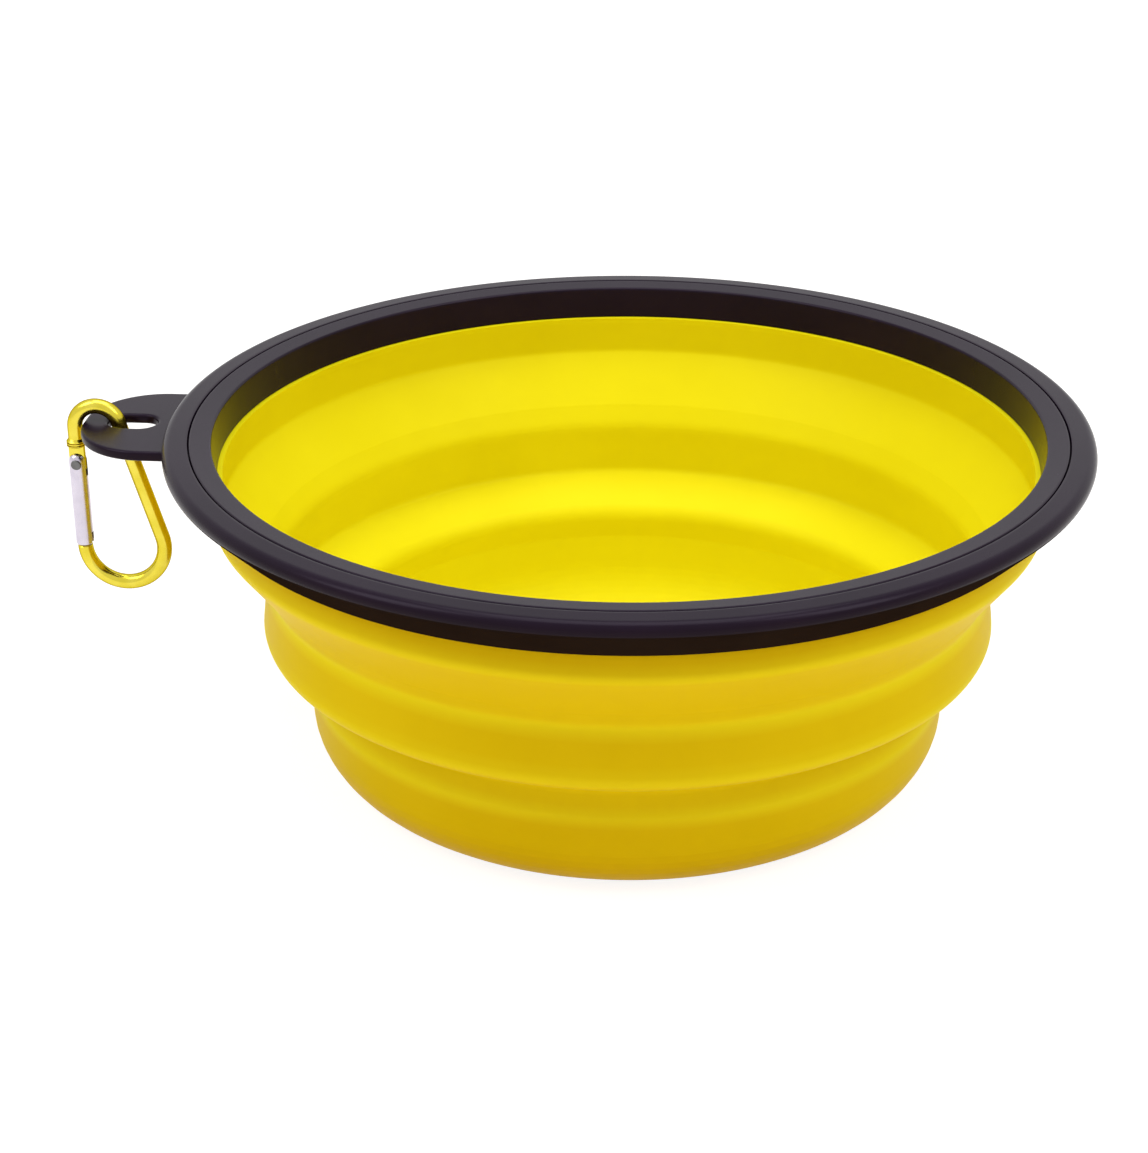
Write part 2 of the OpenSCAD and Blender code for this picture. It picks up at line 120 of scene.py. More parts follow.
TONGUE_T = mm(1.3)
TONGUE_HALF_W = mm(1.5)
NOSE_T = mm(1.2)
NOSE_W = mm(2.2)
NOSE_H = mm(2.2)
FORK_GAP = mm(0.1)
FORK_DEPTH = mm(2.7)
NOSE_GAP = mm(0.6)
RIVET_R = mm(0.7)
RIVET_HEAD_R = mm(1.05)
RIVET_HEAD_T = mm(0.35)
RIVET_SEAT_DEPTH = mm(0.25)

# Roundings, bevels and other sizes that only the dressed pieces use
SHELF_EDGE = [mm(0, -0.3), mm(0.1, -0.08), mm(0.35, -0.02)]
LIP_ROUNDS = [mm(0.2), mm(0.5), mm(0.5), mm(0.2), mm(0.4)]
CHANNEL_ROUNDS = [0, mm(0.4), mm(0.2), 0, 0, 0]
CLAMP_ROUNDS = [mm(0.25), mm(0.2), 0, 0, mm(0.3), mm(0.5)]
FOOT_RUN = mm(0.4)
TAB_EDGE_R = mm(0.6)
TAB_FLAT_INSET = mm(0.3)
NOSE_BEVEL = mm(0.2)
COLLAR_EASE = mm(0.15)
COLLAR_GROOVE_W = mm(0.25)
COLLAR_GROOVE_D = mm(0.35)
COLLAR_CONE_H = mm(0.5)
COLLAR_CONE_INSET = mm(0.1)
CAM_LOW_R = mm(1.7)
CAM_HIGH_R = mm(2.1)
GATE_EASE = mm(0.25)
HEAD_FLATTENING = 0.7
RIVET_ROUND_SHARE = 0.8
SLOT_END_SHARE = 0.98

# How many points go round each circle and along each curve
BOWL_SIDES = 256
BAR_SIDES = 32
GATE_SIDES = 64
RIVET_SIDES = 40
TAB_SIDES = 240
TAB_EDGE_STEPS = 5
ROLL_STEPS = 20
FOOT_STEPS = 10
BEND_STEPS = (72, 56)
STUB_STEPS = 10
HEAD_ROWS = 12

# Edges bent more than this are shaded sharp
SHARP_ANGLE = math.radians(35)

# Tolerances: metres, radians, a cross product and a share of an edge
SAME_POINT = 1e-7
NO_TURN = 1e-4
PARALLEL = 1e-12
EDGE_SLACK = 1e-6

# Heights and radii that follow from them
R_LOWER_CREASE = BASE_R + BASE_FLARE
R_LOWER_HINGE = R_LOWER_CREASE + LOWER_RISE_LEAN
R_MIDDLE_EDGE = R_LOWER_HINGE + LOWER_SHOULDER_W
R_UPPER_CREASE = R_MIDDLE_EDGE + MIDDLE_FLARE
R_UPPER_HINGE = R_UPPER_CREASE + UPPER_RISE_LEAN
R_UPPER_EDGE = R_UPPER_HINGE + UPPER_SHOULDER_W
R_WALL_TOP = R_UPPER_EDGE + UPPER_FLARE
Z_LOWER_CREASE = BASE_TIER_H
Z_LOWER_HINGE = Z_LOWER_CREASE + LOWER_RISE_H
Z_MIDDLE_EDGE = Z_LOWER_HINGE + LOWER_SHOULDER_H
Z_UPPER_CREASE = Z_MIDDLE_EDGE + MIDDLE_TIER_H
Z_UPPER_HINGE = Z_UPPER_CREASE + UPPER_RISE_H
Z_UPPER_EDGE = Z_UPPER_HINGE + UPPER_SHOULDER_H
Z_SEAT = Z_UPPER_EDGE + UPPER_TIER_H
Z_WEB_TOP = Z_SEAT + WEB_T
Z_RIM = Z_WEB_TOP + CLAMP_H
Z_FLANGE = Z_RIM - FLANGE_T
Z_TAB_TOP = Z_RIM - TAB_DROP
R_SKIRT_BOTTOM = R_WALL_TOP - WALL_T + SKIRT_SETBACK
R_SKIRT_OUTER = R_SKIRT_BOTTOM + SKIRT_T
R_CLAMP_INNER = R_SKIRT_BOTTOM + SKIRT_DRAFT
R_BEAD_INNER = R_SKIRT_OUTER + BEAD_GAP
R_BEAD_OUTER = R_BEAD_INNER + BEAD_W
R_CHANNEL = R_BEAD_OUTER + CHANNEL_GAP
R_SHELF = R_CHANNEL + SHELF_W
R_CLAMP_OUTER = R_SHELF - SEAM_W
R_RIM = R_CHANNEL + RIM_WALL_W
R_LIP = R_WALL_TOP + LIP_GAP
TAB_TIP = R_RIM + TAB_REACH
SLOT_BEGIN = R_RIM + SLOT_START
SLOT_END = TAB_TIP - END_BAR_W
GRIP_R = SMALL_BEND_R - BAR_R - HANG_GAP
SMALL_BEND = Vector((-(SLOT_END + END_BAR_W / 2), 0,
                     Z_TAB_TOP - math.sqrt(GRIP_R ** 2 - END_BAR_W ** 2 / 4)))
PIVOT = SMALL_BEND - Vector((SMALL_BEND_R, 0, PIVOT_DROP))
GATE_L = BEND_SPACING - PIVOT_DROP - END_GAP


# Outlines

def left_of(v):
    return Vector((-v.y, v.x))


def arc(centre, radius, start, end, steps=8):
    """Points of an arc, angles in radians."""
    turns = [start + (end - start) * k / steps for k in range(steps + 1)]
    return [centre + radius * Vector((math.cos(a), math.sin(a))) for a in turns]


def moved(path, distance):
    """An open path moved to its left, with mitred corners."""
    out = []
    for i, p in enumerate(path):
        before = (p - path[i - 1] if i else path[1] - p).normalized()
        after = (path[i + 1] - p if i < len(path) - 1 else p - path[i - 1]).normalized()
        a, b = left_of(before), left_of(after)
        out.append(p + distance * (a + b) / (1 + a.dot(b)))
    return out


def side_of(points, i):
    """Which way a path turns at point i: 1 to the left, -1 to the right."""
    before = points[i] - points[i - 1]
    after = points[(i + 1) % len(points)] - points[i]
    return 1 if left_of(before).dot(after) > 0 else -1


def rounded(points, radii, closed=False, step=math.radians(8)):
    """A path or loop with each corner rounded to its own radius."""
    out = []
    last = len(points) - 1
    for i, p in enumerate(points):
        if radii[i] == 0 or (not closed and i in (0, last)):
            out.append(p.copy())
            continue
        before = (p - points[i - 1]).normalized()
        after = (points[(i + 1) % len(points)] - p).normalized()
        turn = before.angle(after)
        if turn < NO_TURN:
            out.append(p.copy())
            continue
        side = side_of(points, i)
        start = p - before * radii[i] * math.tan(turn / 2)
        centre = start + side * radii[i] * left_of(before)
        a = math.atan2(start.y - centre.y, start.x - centre.x)
        out += arc(centre, radii[i], a, a + side * turn, max(3, math.ceil(turn / step)))
    return out


def up_to(path, z):
    """The part of a rising path below z, ending on z."""
    out = [path[0]]
    for a, b in zip(path, path[1:]):
        if b.y >= z:
            out.append(a.lerp(b, (z - a.y) / (b.y - a.y)) if b.y > a.y else b)
            break
        out.append(b)
    return out


def above(path, z):
    """The part of a rising path above z, starting on z."""
    flipped = [Vector((p.x, -p.y)) for p in reversed(path)]
    return [Vector((p.x, -p.y)) for p in reversed(up_to(flipped, -z))]


def spaced(points, closed, longest=mm(2.5), tight=mm(0.25)):
    """Extra points on long runs, close to their ends, so that flat stretches stay flat."""
    out = []
    count = len(points) if closed else len(points) - 1
    for i in range(count):
        a, b = points[i], points[(i + 1) % len(points)]
        length = (b - a).length
        out.append(a)
        if length > 4 * tight:
            steps = max(1, math.ceil((length - 2 * tight) / longest))
            stops = [tight + (length - 2 * tight) * k / steps for k in range(steps + 1)]
            out += [a.lerp(b, s / length) for s in stops]
    return out if closed else out + [points[-1]]


# Meshes

def finish_mesh(name, bm):
    """Turns a bmesh into a smooth-shaded object whose sharp edges stay crisp."""
    bmesh.ops.remove_doubles(bm, verts=bm.verts, dist=SAME_POINT)
    bmesh.ops.recalc_face_normals(bm, faces=bm.faces)
    mesh = bpy.data.meshes.new(name)
    bm.to_mesh(mesh)
    bm.free()
    mesh.shade_smooth()
    mesh.set_sharp_from_angle(angle=SHARP_ANGLE)
    piece = bpy.data.objects.new(name, mesh)
    bpy.context.scene.collection.objects.link(piece)
    return piece


def circle(sides):
    """The angles of evenly spaced points round a circle."""
    return [2 * math.pi * k / sides for k in range(sides)]


def revolve(name, outline, sides=BOWL_SIDES, centre=None, axis="Z"):
    """A closed outline of (radius, height) turned round an axis."""
    bm = bmesh.new()
    rings = []
    for r, z in outline:
        if r < SAME_POINT:
            rings.append([bm.verts.new((0, 0, z))] * sides)
        else:
            rings.append([bm.verts.new((r * math.cos(a), r * math.sin(a), z))
                          for a in circle(sides)])
    for i, ring in enumerate(rings):
        upper = rings[(i + 1) % len(rings)]
        for k in range(sides):
            n = (k + 1) % sides
            corners = list(dict.fromkeys((ring[k], ring[n], upper[n], upper[k])))
            if len(corners) > 2:
                bm.faces.new(corners)
    if axis == "Y":
        bmesh.ops.rotate(bm, verts=bm.verts, matrix=Matrix.Rotation(math.pi / 2, 3, "X"))
    if centre is not None:
        bmesh.ops.translate(bm, verts=bm.verts, vec=centre)
    return finish_mesh(name, bm)


def stack_of_loops(bm, loops, wrap):
    """Faces between loops of equally many points; wrap joins the last to the first."""
    rings = [[bm.verts.new(p) for p in loop] for loop in loops]
    count = len(rings[0])
    pairs = list(zip(rings, rings[1:])) + ([(rings[-1], rings[0])] if wrap else [])
    for a, b in pairs:
        for k in range(count):
            n = (k + 1) % count
            bm.faces.new((a[k], a[n], b[n], b[k]))
    if not wrap:
        bm.faces.new(rings[0])
        bm.faces.new(rings[-1])


def slab(bm, outline, thickness, origin):
    """A flat plate in the XZ plane, centred on Y = 0, from an outline about origin."""
    loops = [[origin + Vector((p.x, side * thickness / 2, p.y)) for p in outline]
             for side in (-1, 1)]
    stack_of_loops(bm, loops, wrap=False)


# Silicone

OUTSIDE = [Vector((0, 0)), Vector((BASE_R, 0)), Vector((R_LOWER_CREASE, Z_LOWER_CREASE)),
           Vector((R_LOWER_HINGE, Z_LOWER_HINGE)), Vector((R_MIDDLE_EDGE, Z_MIDDLE_EDGE)),
           Vector((R_UPPER_CREASE, Z_UPPER_CREASE)), Vector((R_UPPER_HINGE, Z_UPPER_HINGE)),
           Vector((R_UPPER_EDGE, Z_UPPER_EDGE)), Vector((R_WALL_TOP, Z_SEAT)),
           Vector((R_WALL_TOP, Z_WEB_TOP))]
OUTSIDE_ROUNDS = [0, BASE_CORNER_R, CREASE_ROUND_R, HINGE_ROUND_R, EDGE_ROUND_R,
                  CREASE_ROUND_R, HINGE_ROUND_R, EDGE_ROUND_R, 0, 0]
INSIDE_ROUNDS = [0] + [max(r - WALL_T, WALL_T / 4) if side_of(OUTSIDE, i) > 0 else r + WALL_T
                       for i, r in list(enumerate(OUTSIDE_ROUNDS))[1:-2]] + [0, 0]

# How far the low end of a length dips into the piece below
SEAM_DIP = mm(0.05)

# Painted glow and highlight: the silicone's colour is made lighter on the four fold lines,
# which are the creases and the edges, and less so on the web between a crease and its edge,
# in place of the light that comes through the thin silicone at the folds
LOWER_CREASE, MIDDLE_EDGE, UPPER_CREASE, UPPER_EDGE = 2, 4, 5, 7
PAINTED_GLOW_HALF_W = mm(1.6)
LOWER_WEB_PAINTED_GLOW = 0.55
UPPER_WEB_PAINTED_GLOW = 0.35
FOLD_LINES = [min(rounded(OUTSIDE, OUTSIDE_ROUNDS), key=lambda p: (p - OUTSIDE[k]).length)
              for k in (LOWER_CREASE, MIDDLE_EDGE, UPPER_CREASE, UPPER_EDGE)]


def silicone(name, low, high, lip=False):
    """One length of the moulding between two heights; None stands for its own end."""
    outer = spaced(rounded(OUTSIDE, OUTSIDE_ROUNDS), closed=False)
    inner = spaced(rounded(moved(OUTSIDE, WALL_T), INSIDE_ROUNDS), closed=False)
    if low is not None:
        outer, inner = above(outer, low), above(inner, low)
    if high is not None:
        outer, inner = up_to(outer, high), up_to(inner, high)
    top = []
    if lip:
        outer, inner = up_to(outer, Z_SEAT), up_to(inner, Z_SEAT)
        in_r = R_WALL_TOP - WALL_T
        top = rounded([Vector((R_BEAD_OUTER, Z_SEAT)), Vector((R_BEAD_OUTER, Z_FLANGE)),
                       Vector((R_BEAD_INNER, Z_FLANGE)), Vector((R_BEAD_INNER, Z_WEB_TOP)),
                       Vector((in_r, Z_WEB_TOP))], LIP_ROUNDS)
    # The low end dips into the piece below, so that the two end faces never coincide
    foot = [] if low is None else [(outer[0] + inner[0]) / 2 - Vector((0, SEAM_DIP))]
    piece = revolve(name, outer + top + list(reversed(inner)) + foot)
    mark_painted_glow(piece.data, outer, top + inner)
    return piece


def painted_glow_share(point):
    """How much painted glow an outside point gets: 1 on a fold line, less on a web, 0
    elsewhere.
    """
    near = min((point - line).length for line in FOLD_LINES)
    share = math.exp(-(near / PAINTED_GLOW_HALF_W) ** 2)
    for low, high, web in ((Z_LOWER_CREASE, Z_MIDDLE_EDGE, LOWER_WEB_PAINTED_GLOW),
                           (Z_UPPER_CREASE, Z_UPPER_EDGE, UPPER_WEB_PAINTED_GLOW)):
        if low <= point.y <= high:
            share = max(share, web)
    return share


def mark_painted_glow(mesh, outside, others):
    """Writes the painted glow share to each point of the mesh, which lightens the silicone's
    colour.
    """
    shares = [painted_glow_share(p) for p in outside] + [0] * len(others)
    tree = KDTree(len(shares))
    for i, p in enumerate(outside + others):
        tree.insert(p.to_3d(), i)
    tree.balance()
    # The fold attribute holds each point's share of painted glow
    mark = mesh.attributes.new("fold", "FLOAT", "POINT")
    for i, vertex in enumerate(mesh.vertices):
        place = Vector((vertex.co.to_2d().length, vertex.co.z, 0))
        nearest = tree.find(place)[1]
        mark.data[i].value = shares[nearest]


def build_silicone():
    """Three lengths that meet at the two creases; only the lowest is attached to a body, the
    base.
    """
    upper = silicone("silicone_upper", Z_UPPER_CREASE, None, lip=True)
    middle = silicone("silicone_middle", Z_LOWER_CREASE, Z_UPPER_CREASE)
    base = silicone("silicone_base", None, Z_LOWER_CREASE)
    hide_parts("upper_wall", "upper_fold")
    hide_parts("middle_tier", "lower_fold")
    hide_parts("base_cup")
    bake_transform(upper)
    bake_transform(middle)
    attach(base, "base")
    for piece in (upper, middle, base):
        piece.data.materials.append(silicone_material())


# Rim

# Painted shade: faces of the rim ring that look down more than this get a matt copy of the
# rim plastic without gloss, so that the underside stays dark instead of showing reflections
UNDERSIDE_NORMAL_Z = -0.35
PURPLE_BLACK = ((23, 13, 28), (28, 17, 33))
UNDERSIDE_SHADE_BLACK = ((34, 29, 34), (39, 34, 39))
RING_GLOSS = 0.13
CLAMP_GLOSS = 0.15
UNDERSIDE_SHADE_GLOSS = 0.0


def build_rim():
    """Outer ring with its rolled edge, the clamp ring inside it, and the hang tab."""
    roll_c = Vector((R_RIM - ROLL_R,
                     Z_RIM + CROWN_H - ROLL_R / math.cos(TOP_SLOPE)
                     - (R_RIM - ROLL_R - R_SHELF) * math.tan(TOP_SLOPE)))
    z_lip = Z_SEAT - LIP_FLOOR_T
    foot_z = z_lip + FOOT_ROUND_R
    foot_c = Vector((roll_c.x + (ROLL_R - FOOT_ROUND_R) / math.cos(WALL_LEAN)
                     - (roll_c.y - foot_z) * math.tan(WALL_LEAN), foot_z))
    outer = ([Vector((R_SHELF, Z_RIM + CROWN_H)) + step for step in SHELF_EDGE]
             + arc(roll_c, ROLL_R, math.pi / 2 - TOP_SLOPE, -WALL_LEAN, ROLL_STEPS)
             + arc(foot_c, FOOT_ROUND_R, -WALL_LEAN, -math.pi / 2, FOOT_STEPS)
             + rounded([Vector((foot_c.x - FOOT_RUN, z_lip)), Vector((R_LIP, z_lip)),
                        Vector((R_LIP, Z_SEAT)), Vector((R_CHANNEL, Z_SEAT)),
                        Vector((R_CHANNEL, Z_FLANGE - SEAM_W)),
                        Vector((R_SHELF, Z_FLANGE - SEAM_W))], CHANNEL_ROUNDS))
    ring = revolve("rim_outer_ring", spaced(outer, closed=True))
    inner = rounded([Vector((R_SKIRT_BOTTOM, Z_WEB_TOP)), Vector((R_SKIRT_OUTER, Z_WEB_TOP)),
                     Vector((R_SKIRT_OUTER, Z_FLANGE)), Vector((R_CLAMP_OUTER, Z_FLANGE)),
                     Vector((R_CLAMP_OUTER, Z_RIM + CROWN_H)), Vector((R_CLAMP_INNER, Z_RIM))],
                    CLAMP_ROUNDS, closed=True)
    clamp = revolve("rim_clamp_ring", spaced(inner, closed=True))
    tab = build_tab()
    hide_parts("rim_ring")
    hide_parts("clamp_ring")
    for piece in (ring, tab):
        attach(piece, "rim")
        piece.data.materials.append(rim_material("rim_plastic", RING_GLOSS, *PURPLE_BLACK))
    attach(clamp, "rim")
    clamp.data.materials.append(rim_material("clamp_plastic", CLAMP_GLOSS, *PURPLE_BLACK))
    # Painted shade: the matt, glossless copy of the rim plastic for the ring's down-facing
    # faces
    ring.data.materials.append(rim_material("rim_underside_shade", UNDERSIDE_SHADE_GLOSS, *UNDERSIDE_SHADE_BLACK))
    for face in ring.data.polygons:
        if face.normal.z < UNDERSIDE_NORMAL_Z:
            face.material_index = 1


def tab_outline(inset):
    """D-shaped outline of the tab, drawn smaller by inset, with the tab along +X."""
    half_w, corner = TAB_HALF_W - inset, TAB_CORNER_R - inset
    root, tip = R_SHELF + inset, TAB_TIP - inset
    return rounded([Vector((root, -half_w)), Vector((tip, -half_w)),
                    Vector((tip, half_w)), Vector((root, half_w))],
                   [0, corner, corner, 0], closed=True, step=math.radians(2))


def slot_outline(inset):
    """Outline of the slot, drawn smaller by inset, or larger where that is negative."""
    half_w = SLOT_W / 2 - inset
    a, b = SLOT_BEGIN + inset, SLOT_END - inset
    radius = half_w * SLOT_END_SHARE
    return rounded([Vector((a, -half_w)), Vector((b, -half_w)), Vector((b, half_w)),
                    Vector((a, half_w))], [radius] * 4, closed=True, step=math.radians(4))


def by_angle(outline, centre, count):
    """Where count evenly turned rays from centre meet a closed outline."""
    hits = []
    edges = [(p - centre, q - centre) for p, q in zip(outline, outline[1:] + outline[:1])]
    for a in circle(count):
        ray = Vector((math.cos(a), math.sin(a)))
        best = None
        for p, q in edges:
            run = q - p
            bottom = ray.x * run.y - ray.y * run.x
            if abs(bottom) < PARALLEL:
                continue
            along = (p.x * run.y - p.y * run.x) / bottom
            share = (p.x * ray.y - p.y * ray.x) / bottom
            if along > 0 and -EDGE_SLACK <= share <= 1 + EDGE_SLACK:
                best = along
                break
        hits.append(centre + ray * best)
    return hits


def build_tab():
    """Tab plate with rolled edges outside and round the slot."""
    centre = Vector(((SLOT_BEGIN + SLOT_END) / 2, 0))
    z_low, z_high = Z_TAB_TOP - TAB_T, Z_TAB_TOP
    loops = []

    def add(outline, inset, z):
        loops.append([Vector((-p.x, -p.y, z))
                      for p in by_angle(outline(inset), centre, TAB_SIDES)])

    quarter = [math.pi / 2 * k / TAB_EDGE_STEPS for k in range(TAB_EDGE_STEPS + 1)]
    flat = TAB_EDGE_R + TAB_FLAT_INSET
    for outline, sign in ((tab_outline, 1), (slot_outline, -1)):
        turns = [(-a, z_low + TAB_EDGE_R) for a in reversed(quarter)]
        turns += [(a, z_high - TAB_EDGE_R) for a in quarter]
        rows = [(flat, z_low)]
        rows += [(TAB_EDGE_R * (1 - math.cos(a)), z + TAB_EDGE_R * math.sin(a))
                 for a, z in turns]
        rows.append((flat, z_high))
        for inset, z in (rows if sign > 0 else reversed(rows)):
            add(outline, sign * inset, z)
    bm = bmesh.new()
    stack_of_loops(bm, loops, wrap=True)
    return finish_mesh("hang_tab", bm)


# Carabiner

def link_path():
    """Centre line of the link from its nose round to the stub, from the small bend's centre."""
    large = Vector((LARGE_BEND_R - SMALL_BEND_R, -BEND_SPACING))
    back = (math.atan2(BEND_SPACING, -large.x) - math.acos(large.x / large.length))
    bottom = arc(large, LARGE_BEND_R, -math.pi, back, BEND_STEPS[0])
    top = arc(Vector((0, 0)), SMALL_BEND_R, back, math.pi, BEND_STEPS[1])
    stub = [Vector((-SMALL_BEND_R, -STUB_H * k / STUB_STEPS))
            for k in range(1, STUB_STEPS + 1)]
    return spaced(bottom + top, closed=False, longest=mm(1.0)) + stub


def tube(bm, path, radii, origin):
    """Round bar along a path in the XZ plane, closed at its ends."""
    loops = []
    for i, p in enumerate(path):
        before = path[max(i - 1, 0)]
        after = path[min(i + 1, len(path) - 1)]
        normal = left_of((after - before).normalized())
        loops.append([origin + Vector((p.x + normal.x * radii[i] * math.cos(a),
                                       radii[i] * math.sin(a),
                                       p.y + normal.y * radii[i] * math.cos(a)))
                      for a in circle(BAR_SIDES)])
    stack_of_loops(bm, loops, wrap=False)


def build_link():
    """Round bar with its collar, the tongue that the gate turns on, and the flat nose."""
    path = link_path()
    # The nose's end is eased by a small bevel
    path[1] = path[0] - Vector((0, NOSE_BEVEL))
    radii = [BAR_R - NOSE_BEVEL] + [BAR_R] * (len(path) - 1)
    bm = bmesh.new()
    tube(bm, path, radii, SMALL_BEND)
    stub_foot = SMALL_BEND - Vector((SMALL_BEND_R, 0, STUB_H))
    collar = [Vector((COLLAR_R - COLLAR_EASE, 0)), Vector((COLLAR_R, COLLAR_EASE))]
    for low in (COLLAR_H / 2 - COLLAR_GROOVE_W * 1.5, COLLAR_H / 2 + COLLAR_GROOVE_W / 2):
        # Each groove goes in, up and out again
        for r, z in ((COLLAR_R, low), (COLLAR_R - COLLAR_GROOVE_D, low),
                     (COLLAR_R - COLLAR_GROOVE_D, low + COLLAR_GROOVE_W),
                     (COLLAR_R, low + COLLAR_GROOVE_W)):
            collar.append(Vector((r, z)))
    collar += [Vector((COLLAR_R, COLLAR_H - COLLAR_EASE)),
               Vector((COLLAR_R - COLLAR_EASE, COLLAR_H)),
               Vector((BAR_R - COLLAR_CONE_INSET, COLLAR_H + COLLAR_CONE_H))]
    rings = [[stub_foot + Vector((p.x * math.cos(a), p.x * math.sin(a), p.y))
              for a in circle(BAR_SIDES)] for p in collar]
    stack_of_loops(bm, rings, wrap=False)
    tongue_top = PIVOT_DROP - STUB_H + COLLAR_H / 2
    tongue = [Vector((-TONGUE_HALF_W, tongue_top))]
    # The cam end stands out further on the side that the gate swings to
    tongue += arc(Vector((0, 0)), CAM_LOW_R, math.pi, 1.5 * math.pi, 12)
    tongue += arc(Vector((0, 0)), CAM_HIGH_R, 1.65 * math.pi, 1.75 * math.pi, 4)
    tongue += [Vector((TONGUE_HALF_W, tongue_top))]
    tongue = [Vector((max(-TONGUE_HALF_W, min(TONGUE_HALF_W, p.x)), p.y)) for p in tongue]
    slab(bm, tongue, TONGUE_T, PIVOT)
    nose = [Vector((-NOSE_W / 2, -BAR_R / 2)), Vector((NOSE_W / 2, -BAR_R / 2)),
            Vector((NOSE_W / 2, NOSE_H / 2)), Vector((0, NOSE_H)),
            Vector((-NOSE_W / 2, NOSE_H))]
    slab(bm, nose, NOSE_T, SMALL_BEND - Vector((SMALL_BEND_R, 0, BEND_SPACING)))
    link = finish_mesh("carabiner_link", bm)
    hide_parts("carabiner_body")
    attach(link, "carabiner")
    link.data.materials.append(gold_material())


def cut_from(piece, cutter):
    """Takes cutter out of piece and keeps the result as piece's own mesh."""
    step = piece.modifiers.new("cut", "BOOLEAN")
    step.operation = "DIFFERENCE"
    step.solver = "EXACT"
    step.object = cutter
    evaluated = piece.evaluated_get(bpy.context.evaluated_depsgraph_get())
    mesh = bpy.data.meshes.new_from_object(evaluated)
    piece.modifiers.clear()
    piece.data = mesh
    bpy.data.objects.remove(cutter, do_unlink=True)


def block(low, high):
    """A box between two corners, used as a cutter."""
    bm = bmesh.new()
    bmesh.ops.create_cube(bm, size=1)
    size = high - low
    bmesh.ops.scale(bm, verts=bm.verts, vec=size)
    bmesh.ops.translate(bm, verts=bm.verts, vec=(low + high) / 2)
    return finish_mesh("cutter", bm)


def build_gate():
    """Silver rod with its forked head and the slot that closes over the nose."""
    head = [Vector((0, HEAD_R))]
    for k in range(1, HEAD_ROWS):
        a = math.pi / 2 * k / HEAD_ROWS
        head.append(Vector((GATE_R * math.sin(a), HEAD_R * math.cos(a) ** HEAD_FLATTENING)))
    body = rounded([Vector((GATE_R, 0)), Vector((GATE_R, -GATE_L)), Vector((0, -GATE_L))],
                   [0, GATE_EASE, 0])
    gate = revolve("carabiner_gate_rod", head + spaced(body, closed=False), GATE_SIDES, PIVOT)
    wide, fork = 2 * GATE_R, TONGUE_T / 2 + FORK_GAP
    cut_from(gate, block(PIVOT + Vector((-wide, -fork, -FORK_DEPTH)),
                         PIVOT + Vector((wide, fork, 2 * HEAD_R))))
    slot = NOSE_T / 2 + FORK_GAP
    foot = PIVOT - Vector((0, 0, GATE_L))
    cut_from(gate, block(foot + Vector((-wide, -slot, -wide)),
                         foot + Vector((wide, slot, NOSE_H - END_GAP + NOSE_GAP))))
    gate.data.shade_smooth()
    gate.data.set_sharp_from_angle(angle=SHARP_ANGLE)
    ear = GATE_R - RIVET_SEAT_DEPTH
    end = ear + RIVET_HEAD_T
    dome = RIVET_HEAD_T * RIVET_ROUND_SHARE
    profile = rounded([Vector((0, -end)), Vector((RIVET_HEAD_R, -end)),
                       Vector((RIVET_HEAD_R, -ear)), Vector((RIVET_R, -ear)),
                       Vector((RIVET_R, ear)), Vector((RIVET_HEAD_R, ear)),
                       Vector((RIVET_HEAD_R, end)), Vector((0, end))],
                      [0, dome, 0, 0, 0, 0, dome, 0], closed=True)
    rivet = revolve("gate_rivet", profile, RIVET_SIDES, PIVOT, axis="Y")
    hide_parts("carabiner_gate")
    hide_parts("gate_pivot_rivet")
    rivet_steel = steel_material("rivet_steel", 92, 116)
    for piece, slot_name, finish in ((gate, "silver_aluminium", gate_material()),
                                     (rivet, "steel", rivet_steel)):
        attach(piece, "gate")
        piece.data.materials.append(finish)
    for name in ("gate_spring", "gate_plunger"):
        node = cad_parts[name]
        node.material_slots[0].material = steel_material("bright_steel", 150, 176)


# Materials

# The Mix node's colour sockets share their names with its other ones, so they go by number
MIX_FIRST, MIX_SECOND, MIX_RESULT = 6, 7, 2
# Noise values below the first show the low tint only, and above the second the high one only
TINT_STOPS = (0.30, 0.70)


def srgb(r, g, b):
    """A display colour of 0 to 255 as the linear colour that a shader takes."""
    def linear(c):
        c /= 255
        return c / 12.92 if c <= 0.04045 else ((c + 0.055) / 1.055) ** 2.4
    return (linear(r), linear(g), linear(b), 1)


def colour_mix(tree, share, first, second):
    """The linked colour first where share is 0, and the plain colour second where it is 1."""
    node = tree.nodes.new("ShaderNodeMix")
    node.data_type = "RGBA"
    tree.links.new(share, node.inputs["Factor"])
    tree.links.new(first, node.inputs[MIX_FIRST])
    node.inputs[MIX_SECOND].default_value = second
    return node.outputs[MIX_RESULT]


